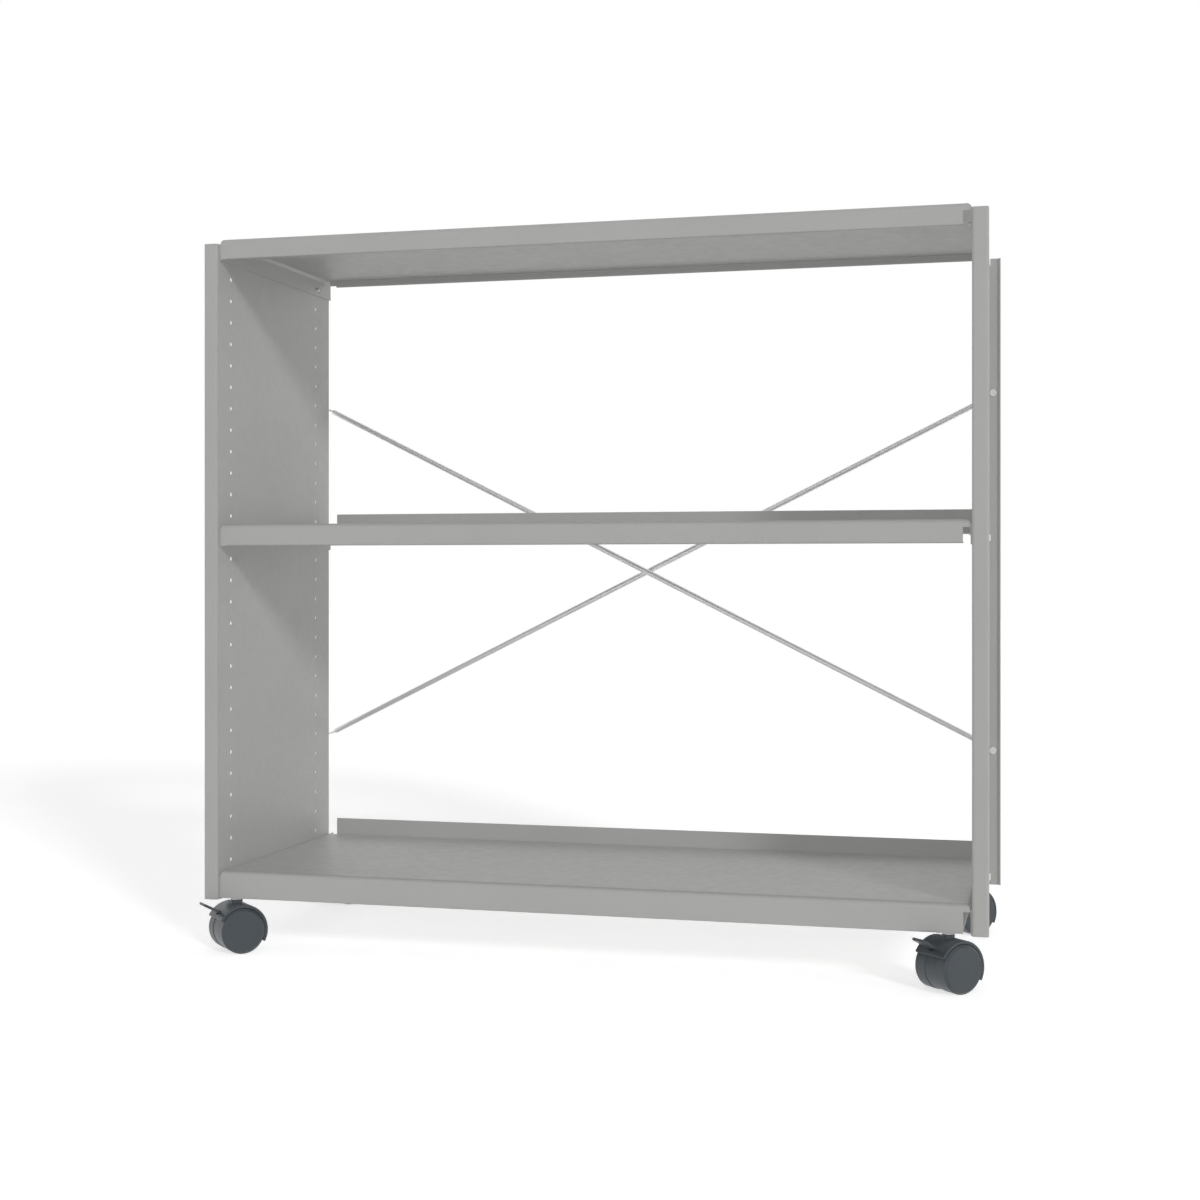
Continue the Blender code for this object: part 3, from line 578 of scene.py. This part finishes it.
def bolt_mesh():
    """A shelf bolt, turned about Z: a socket head above, a threaded shank below."""
    length = GAP + PANEL_SHEET + GAP + SHELF_SHEET + BOLT_REACH
    head = BOLT_HEAD_DIAMETER / 2
    shank = BOLT_DIAMETER / 2
    socket = BOLT_SOCKET / 2
    core = shank - THREAD_DEPTH
    step = THREAD_PITCH / THREAD_STEPS
    rows = [(0, -length), (core - THREAD_DEPTH, -length)]
    for number in range(2, round(length / step) - THREAD_STEPS):
        rows.append((shank, number * step - length, "thread"))
    rows += [(core, -THREAD_PITCH), (core, 0)]
    top = rounded([(core, 0), (head, 0), (head, BOLT_HEAD), (socket, BOLT_HEAD)], BOLT_SOFT)[1:-1]
    rows += [tuple(point) for point in top]
    rows += [
        (socket + BOLT_SOFT / 2, BOLT_HEAD, "hexagon"), (socket, BOLT_HEAD - BOLT_SOFT / 2, "hexagon"),
        (socket, BOLT_HEAD - BOLT_SOCKET_DEPTH, "hexagon"), (0, BOLT_HEAD - BOLT_SOCKET_DEPTH - BOLT_SOFT)]
    return turned("shelf_bolt", rows, ROUND_SIDES)


def bush_mesh():
    """A brace bush, turned about Z: its head inside the panel's rear flange, its socket open to the rear."""
    head = BUSH_HEAD_DIAMETER / 2
    outer = BUSH_DIAMETER / 2
    socket = WIRE_DIAMETER / 2 + BORE_GAP
    back = GAP + PANEL_SHEET + BUSH_BACK
    socket_end = back - WIRE_REACH - GAP
    rows = rounded([(0, -BUSH_HEAD), (head, -BUSH_HEAD), (head, 0), (outer, 0)], BUSH_SOFT)
    rows += rounded([(outer, 0), (outer, back), (socket, back), (socket, socket_end)], BUSH_SOFT)[1:]
    return turned("brace_bush", [*map(tuple, rows), (0, socket_end)], ROUND_SIDES)


def brace_rod_mesh(left_height, right_height, plane):
    """A brace rod between the panels, with a thin hook at each end that enters a bush."""
    left = Vector((-BRACE_X, plane, left_height))
    right = Vector((BRACE_X, plane, right_height))
    along = (right - left).normalized()
    rearward = Vector((0, 1, 0))
    reach = plane - PANEL_REAR - BUSH_BACK + WIRE_REACH
    wire = WIRE_DIAMETER / 2
    rod = ROD_DIAMETER / 2
    ends = []
    for corner, inward in ((left, along), (right, -along)):
        centre = corner + (inward - rearward) * WIRE_BEND
        bend = [centre - inward * x + rearward * y for x, y in arc(WIRE_BEND, 0, 90, BEND_STEPS)]
        blunt = corner + inward * ROD_END
        ends.append([corner - rearward * reach] + bend + [blunt, blunt, blunt + inward * ROD_SOFT])
    radii = [wire] * (len(ends[0]) - 2) + [rod - ROD_SOFT, rod]
    return swept("brace_rod", ends[0] + ends[1][::-1], radii + radii[::-1], ROUND_SIDES)


def stem_mesh():
    """A castor's stem: its plain end in the hood, a collar, and its end in the channel above."""
    radius = STEM_DIAMETER / 2
    collar = STEM_COLLAR_DIAMETER / 2
    low = NECK_LOW + GAP
    top = RAIL_BOTTOM + RAIL_SHEET + STEM_ABOVE_RAIL
    line = rounded([
        (0, low), (radius, low), (radius, NECK_TOP + GAP), (collar, NECK_TOP + GAP), (collar, RAIL_BOTTOM - GAP),
        (radius, RAIL_BOTTOM - GAP), (radius, top), (0, top)], STEM_SOFT)
    return turned("castor_stem", [tuple(point) for point in line], ROUND_SIDES)


def lever_turn():
    """The brake lever's lean, which the hood's pocket shares."""
    return Matrix.Rotation(-math.radians(LEVER_ANGLE), 4, "Y")


def hood_mesh():
    """A castor's hood: a fender over both wheels, a web between them, and a neck about the swivel axis."""
    start, end = HOOD_FRONT_ANGLE, HOOD_REAR_ANGLE
    inside = HOOD_WALL / 2
    joint = HOOD_INNER + HOOD_WALL / 2
    about_axle = Matrix.Translation((0, 0, AXLE_HEIGHT))
    outline = arc(HOOD_OUTER, start, end, HOOD_STEPS) + arc(HOOD_INNER, end, start, HOOD_STEPS)
    mesh = prism("castor_hood", outline, HOOD_WIDTH / 2, about_axle, HOOD_SOFT)
    outline = arc(joint, start + inside, end - inside, HOOD_STEPS)
    outline += arc(WEB_RADIUS, end - inside, start + inside + 360, HOOD_STEPS)
    mesh = combined(mesh, prism("castor_web", outline, WEB / 2, about_axle), "UNION")
    neck = NECK_DIAMETER / 2
    profile = rounded([(0, NECK_LOW), (neck, NECK_LOW), (neck, NECK_TOP), (0, NECK_TOP)], NECK_SOFT)
    mesh = combined(mesh, turned("castor_neck", [tuple(point) for point in profile], HOOD_STEPS), "UNION")

    bores = bmesh.new()
    through = 2 * WEB
    pivot = (LEVER_PIVOT[0], 0, LEVER_PIVOT[1])
    socket = (0, 0, NECK_TOP)
    add_cylinder(bores, (0, 0, AXLE_HEIGHT), (0, 1, 0), AXLE_DIAMETER / 2 + BORE_GAP, through, ROUND_SIDES)
    add_cylinder(bores, pivot, (0, 1, 0), PIVOT_DIAMETER / 2 + BORE_GAP, through, ROUND_SIDES)
    add_cylinder(bores, socket, (0, 0, 1), STEM_DIAMETER / 2 + BORE_GAP, 2 * STEM_IN_HOOD, ROUND_SIDES)
    mesh = combined(mesh, mesh_of(bores, "castor_bores"), "DIFFERENCE")
    # The pocket has room around the barrel and below the lever, and fits closely above it.
    room = LEVER_THICKNESS / 2 + POCKET_SPARE
    reach = LEVER_NECK + HOOD_WALL
    above = LEVER_THICKNESS / 2 + BORE_GAP
    barrel = BARREL_DIAMETER / 2 + BORE_GAP
    outline = [(-room, -room), (reach, -room), (reach, above), (barrel, above), (barrel, room), (-room, room)]
    pocket = prism("castor_pocket", outline, TONGUE_WIDTH / 2 + RUN_GAP, Matrix.Translation(pivot) @ lever_turn())
    return combined(mesh, pocket, "DIFFERENCE")


def wheel_mesh():
    """A castor's wheel, turned about Z: a plain disc outside, a bore for the axle inside."""
    inner = WEB / 2 + RUN_GAP
    outer = CASTOR_WIDTH / 2
    bore = AXLE_DIAMETER / 2 + BORE_GAP
    bore_end = inner + AXLE_IN_WHEEL + GAP
    line = rounded([
        (bore, bore_end), (bore, inner), (WHEEL_RADIUS, inner), (WHEEL_RADIUS, outer - WHEEL_BEVEL),
        (WHEEL_RADIUS - WHEEL_BEVEL, outer), (0, outer)], WHEEL_SOFT)
    return turned("castor_wheel", [(0, bore_end), *map(tuple, line)], WHEEL_SIDES)


def lever_mesh():
    """A brake lever about its pivot: a wide pedal, a tongue into the hood, and a barrel with two pivots."""
    half = LEVER_THICKNESS / 2
    wide = LEVER_WIDTH / 2
    flat = lever_turn() @ Matrix.Rotation(math.pi / 2, 4, "X")
    reach = LEVER_LENGTH - LEVER_ROUND
    corner = [(reach + x, wide - LEVER_ROUND + y) for x, y in arc(LEVER_ROUND, 0, 90, BEND_STEPS)]
    outline = [(x, -y) for x, y in corner[::-1]] + corner + [(LEVER_NECK, wide), (LEVER_NECK, -wide)]
    mesh = prism("brake_lever", outline, half, flat, LEVER_SOFT)
    thin = half - TONGUE_THINNER
    inside = LEVER_NECK + LEVER_THICKNESS
    outline = [(0, -thin), (inside, -thin), (inside, thin), (0, thin)]
    barrel = bmesh.new()
    add_cylinder(barrel, (0, 0, 0), (0, 1, 0), BARREL_DIAMETER / 2, TONGUE_WIDTH - GAP, ROUND_SIDES)
    pins = bmesh.new()
    add_cylinder(pins, (0, 0, 0), (0, 1, 0), PIVOT_DIAMETER / 2, WEB - GAP, ROUND_SIDES)
    parts = [
        prism("lever_tongue", outline, TONGUE_WIDTH / 2, lever_turn()), mesh_of(barrel, "lever_barrel"),
        mesh_of(pins, "lever_pivots")]
    for part in parts:
        mesh = combined(mesh, part, "UNION")
    return mesh


class Finish:
    """A procedural material, built node by node around its main shader."""

    def __init__(self, name, metallic):
        self.material = bpy.data.materials.new(name)
        self.material.use_nodes = True
        self.tree = self.material.node_tree
        self.shader = self.tree.nodes["Principled BSDF"]
        self.shader.inputs["Metallic"].default_value = metallic
        self.place = self.add("ShaderNodeTexCoord").outputs["Object"]

    def add(self, kind, inputs=None, **settings):
        """Adds a node. An input is a plain value or another node's output."""
        node = self.tree.nodes.new(kind)
        for name, value in settings.items():
            setattr(node, name, value)
        for name, value in (inputs or {}).items():
            if isinstance(value, bpy.types.NodeSocket):
                self.tree.links.new(value, node.inputs[name])
            else:
                node.inputs[name].default_value = value
        return node

    def noise(self, scale, detail, place=None):
        inputs = {"Vector": place or self.place, "Scale": scale, "Detail": detail}
        return self.add("ShaderNodeTexNoise", inputs).outputs["Fac"]

    def cells(self, scale):
        inputs = {"Vector": self.place, "Scale": scale}
        return self.add("ShaderNodeTexVoronoi", inputs, feature="SMOOTH_F1").outputs["Distance"]

    def mean(self, first, second):
        """Both patterns at half strength."""
        half = self.add("ShaderNodeMath", {0: first, 1: 0.5}, operation="MULTIPLY").outputs[0]
        return self.add("ShaderNodeMath", {0: second, 1: 0.5, 2: half}, operation="MULTIPLY_ADD").outputs[0]

    def tones(self, pattern, dark, light):
        ramp = self.add("ShaderNodeValToRGB", {"Fac": pattern})
        for element, place, color in zip(ramp.color_ramp.elements, PATTERN_SPAN, (dark, light)):
            element.position = place
            element.color = (*color, 1.0)
        self.tree.links.new(ramp.outputs["Color"], self.shader.inputs["Base Color"])

    def gloss(self, pattern, smooth, rough):
        low, high = PATTERN_SPAN
        inputs = {"Value": pattern, "From Min": low, "From Max": high, "To Min": smooth, "To Max": rough}
        node = self.add("ShaderNodeMapRange", inputs)
        self.tree.links.new(node.outputs["Result"], self.shader.inputs["Roughness"])

    def relief(self, patterns, heights):
        """Raises the surface by each pattern, to its height in millimetres."""
        below = None
        for pattern, height in zip(patterns, heights):
            inputs = {"Height": pattern, "Distance": height * MM}
            if below:
                inputs["Normal"] = below
            below = self.add("ShaderNodeBump", inputs).outputs["Normal"]
        self.tree.links.new(below, self.shader.inputs["Normal"])


def powder_coat():
    """Grey powder coat: a fine pebbled skin with faint clouds in its colour."""
    made = Finish("powder_coat", 0.0)
    clouds = made.noise(*PAINT_CLOUDS)
    specks = made.noise(*PAINT_SPECKS)
    made.tones(made.mean(clouds, specks), *PAINT_TONES)
    made.gloss(made.noise(*PAINT_PATCHES), *PAINT_GLOSS)
    made.relief((made.noise(*PAINT_WAVES), made.cells(PAINT_PEBBLES)), PAINT_HEIGHTS)
    return made.material


def zinc_plating():
    """Bright zinc plating: faint crystal patches and fine drawn streaks."""
    made = Finish("zinc_plating", 1.0)
    patches = made.cells(ZINC_CRYSTALS)
    streaks = made.noise(*ZINC_STREAKS)
    made.tones(made.mean(patches, streaks), *ZINC_TONES)
    made.gloss(streaks, *ZINC_GLOSS)
    made.relief((streaks,), (ZINC_HEIGHT,))
    return made.material


def moulded_plastic():
    """Slate grey moulded plastic with a fine spark-eroded grain."""
    made = Finish("moulded_plastic", 0.0)
    clouds = made.noise(*PLASTIC_CLOUDS)
    grain = made.cells(PLASTIC_GRAIN)
    made.tones(clouds, *PLASTIC_TONES)
    made.gloss(made.mean(clouds, grain), *PLASTIC_GLOSS)
    made.relief((grain, made.noise(*PLASTIC_WAVES)), PLASTIC_HEIGHTS)
    return made.material


def wheel_plastic():
    """Slate grey moulded wheel with faint turning lines about its axle."""
    made = Finish("wheel_plastic", 0.0)
    flat = made.add("ShaderNodeVectorMath", {0: made.place, 1: (1.0, 1.0, 0.0)}, operation="MULTIPLY").outputs[0]
    radius = made.add("ShaderNodeVectorMath", {0: flat}, operation="LENGTH").outputs["Value"]
    height = made.add("ShaderNodeSeparateXYZ", {"Vector": made.place}).outputs["Z"]
    rings = made.add("ShaderNodeCombineXYZ", {"X": radius, "Y": height}).outputs["Vector"]
    lines = made.noise(*WHEEL_LINES, rings)
    clouds = made.noise(*WHEEL_CLOUDS)
    made.tones(made.mean(clouds, lines), *PLASTIC_TONES)
    made.gloss(made.mean(clouds, lines), *WHEEL_GLOSS)
    made.relief((lines, made.cells(PLASTIC_GRAIN)), WHEEL_HEIGHTS)
    return made.material


def show(node, mesh, material, matrix=None):
    """Adds a piece where a CAD node is, on the node's own body."""
    if not mesh.materials:
        mesh.materials.append(material)
    obj = bpy.data.objects.new(node + "_shown", mesh)
    bpy.context.scene.collection.objects.link(obj)
    obj.matrix_world = matrix or Matrix()
    shading = obj.modifiers.new("shading", "WEIGHTED_NORMAL")
    shading.keep_sharp = True
    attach(obj, frame["nodes"][node]["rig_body"])
    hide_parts(node)


def moved(x, y, z):
    return Matrix.Translation(Vector((x, y, z)) * MM)


def turn(angle, axis):
    return Matrix.Rotation(math.radians(angle), 4, axis)


def show_frame(paint):
    for name, side in SIDES.items():
        show("side_panel_" + name, panel_mesh(side), paint)
        show("castor_rail_" + name, rail_mesh(side), paint)
    for level, sizes in SHELVES.items():
        show("shelf_" + level, shelf_mesh(*sizes), paint)


def show_fixings(steel):
    mesh = bolt_mesh()
    head_x = WEB_INNER + PANEL_SHEET + GAP
    for level, (bolt_height, _, _, _) in SHELVES.items():
        for side_name, side in SIDES.items():
            for column, y in HOLE_COLUMNS.items():
                matrix = moved(side * head_x, y, bolt_height) @ turn(side * 90, "Y")
                show(f"shelf_bolt_{level}_{side_name}_{column}", mesh, steel, matrix)
    mesh = bush_mesh()
    bush_y = PANEL_REAR - PANEL_SHEET - GAP
    for side_name, side in SIDES.items():
        for level, z in BRACE_LEVELS.items():
            matrix = moved(side * BRACE_X, bush_y, z) @ turn(-90, "X")
            show(f"brace_bush_{side_name}_{level}", mesh, steel, matrix)
    upper, lower = BRACE_LEVELS["upper"], BRACE_LEVELS["lower"]
    for name, heights in (("falling", (upper, lower)), ("rising", (lower, upper))):
        show("brace_rod_" + name, brace_rod_mesh(*heights, ROD_PLANES[name]), steel)


def show_castors(steel, plastic, tread):
    stem, hood, wheel, lever = stem_mesh(), hood_mesh(), wheel_mesh(), lever_mesh()
    at_axle = moved(0, 0, AXLE_HEIGHT)
    at_pivot = moved(LEVER_PIVOT[0], 0, LEVER_PIVOT[1])
    for row, y in CASTOR_ROWS.items():
        for side_name, side in SIDES.items():
            name = f"castor_{row}_{side_name}"
            swivel = moved(side * RAIL_X + CASTOR_OFFSET, y, 0) @ turn(CASTOR_TURN, "Z")
            show(name + "_stem", stem, steel, swivel)
            show(name + "_hood", hood, plastic, swivel)
            show(name + "_brake_lever", lever, plastic, swivel @ at_pivot)
            show(name + "_right_wheel", wheel, tread, swivel @ at_axle @ turn(-90, "X"))
            show(name + "_left_wheel", wheel, tread, swivel @ at_axle @ turn(90, "X"))
            axle = frame["nodes"][name + "_axle"]
            axle.data.materials.clear()
            axle.data.materials.append(steel)


def seen_rays(tree):
    """1 for the rays that show the background: straight ones, reflections and what is seen through glass."""
    path = tree.nodes.new("ShaderNodeLightPath")
    seen = path.outputs["Is Camera Ray"]
    for name in ("Is Glossy Ray", "Is Transmission Ray"):
        either = tree.nodes.new("ShaderNodeMath")
        either.operation = "MAXIMUM"
        tree.links.new(seen, either.inputs[0])
        tree.links.new(path.outputs[name], either.inputs[1])
        seen = either.outputs[0]
    return seen


def add_world():
    """An even pale surround, white where it is seen."""
    world = bpy.data.worlds.new("surround")
    bpy.context.scene.world = world
    world.use_nodes = True
    tree = world.node_tree
    light = tree.nodes["Background"]
    light.inputs["Color"].default_value = (1, 1, 1, 1)
    light.inputs["Strength"].default_value = AMBIENT
    shown = tree.nodes.new("ShaderNodeBackground")
    shown.inputs["Color"].default_value = (1, 1, 1, 1)
    mix = tree.nodes.new("ShaderNodeMixShader")
    tree.links.new(seen_rays(tree), mix.inputs["Fac"])
    tree.links.new(light.outputs["Background"], mix.inputs[1])
    tree.links.new(shown.outputs["Background"], mix.inputs[2])
    tree.links.new(mix.outputs["Shader"], tree.nodes["World Output"].inputs["Surface"])


def add_floor():
    """A plain pale floor that is white where nothing shades it."""
    bm = bmesh.new()
    bmesh.ops.create_grid(bm, x_segments=1, y_segments=1, size=FLOOR_SIZE / 2)
    floor = helper(mesh_of(bm, "floor"))
    pale = bpy.data.materials.new("pale_floor")
    pale.use_nodes = True
    tree = pale.node_tree
    tree.nodes.clear()
    matt = tree.nodes.new("ShaderNodeBsdfDiffuse")
    matt.inputs["Color"].default_value = FLOOR_COLOR
    glow = tree.nodes.new("ShaderNodeEmission")
    lift = tree.nodes.new("ShaderNodeMath")
    lift.operation = "MULTIPLY"
    lift.inputs[1].default_value = FLOOR_LIFT
    tree.links.new(seen_rays(tree), lift.inputs[0])
    tree.links.new(lift.outputs[0], glow.inputs["Strength"])
    both = tree.nodes.new("ShaderNodeAddShader")
    tree.links.new(matt.outputs["BSDF"], both.inputs[0])
    tree.links.new(glow.outputs["Emission"], both.inputs[1])
    output = tree.nodes.new("ShaderNodeOutputMaterial")
    tree.links.new(both.outputs["Shader"], output.inputs["Surface"])
    floor.data.materials.append(pale)


def add_lamp(name, travel, strength, softness):
    """A far lamp that lights the surfaces and puts no glare of its own on them."""
    lamp = bpy.data.lights.new(name, "SUN")
    lamp.energy = strength
    lamp.angle = math.radians(softness)
    obj = bpy.data.objects.new(name, lamp)
    bpy.context.scene.collection.objects.link(obj)
    obj.rotation_euler = Vector(travel).to_track_quat("-Z", "Y").to_euler()
    obj.visible_glossy = False
    return obj


def add_lights():
    """A soft key light from the front right, and an even fill from all sides that throws no shadows."""
    add_lamp("key", KEY_TRAVEL, KEY_STRENGTH, KEY_SOFTNESS)
    for name, (travel, strength) in FILLS.items():
        fill = add_lamp("fill_" + name, travel, strength, FILL_SOFTNESS)
        fill.data.use_shadow = False


def add_camera():
    """A level camera to the right of the middle, at the photograph's viewing angle."""
    lens = bpy.data.cameras.new("camera")
    lens.sensor_width = CAMERA_SENSOR
    lens.lens = CAMERA_LENS
    lens.shift_x, lens.shift_y = CAMERA_SHIFT
    camera = bpy.data.objects.new("camera", lens)
    bpy.context.scene.collection.objects.link(camera)
    camera.location = CAMERA_AT
    camera.rotation_euler = (math.pi / 2, 0, math.radians(CAMERA_YAW))
    bpy.context.scene.camera = camera


def main():
    bpy.context.scene.view_settings.view_transform = "Standard"
    steel = zinc_plating()
    show_frame(powder_coat())
    show_fixings(steel)
    show_castors(steel, moulded_plastic(), wheel_plastic())
    add_world()
    add_floor()
    add_lights()
    add_camera()


main()
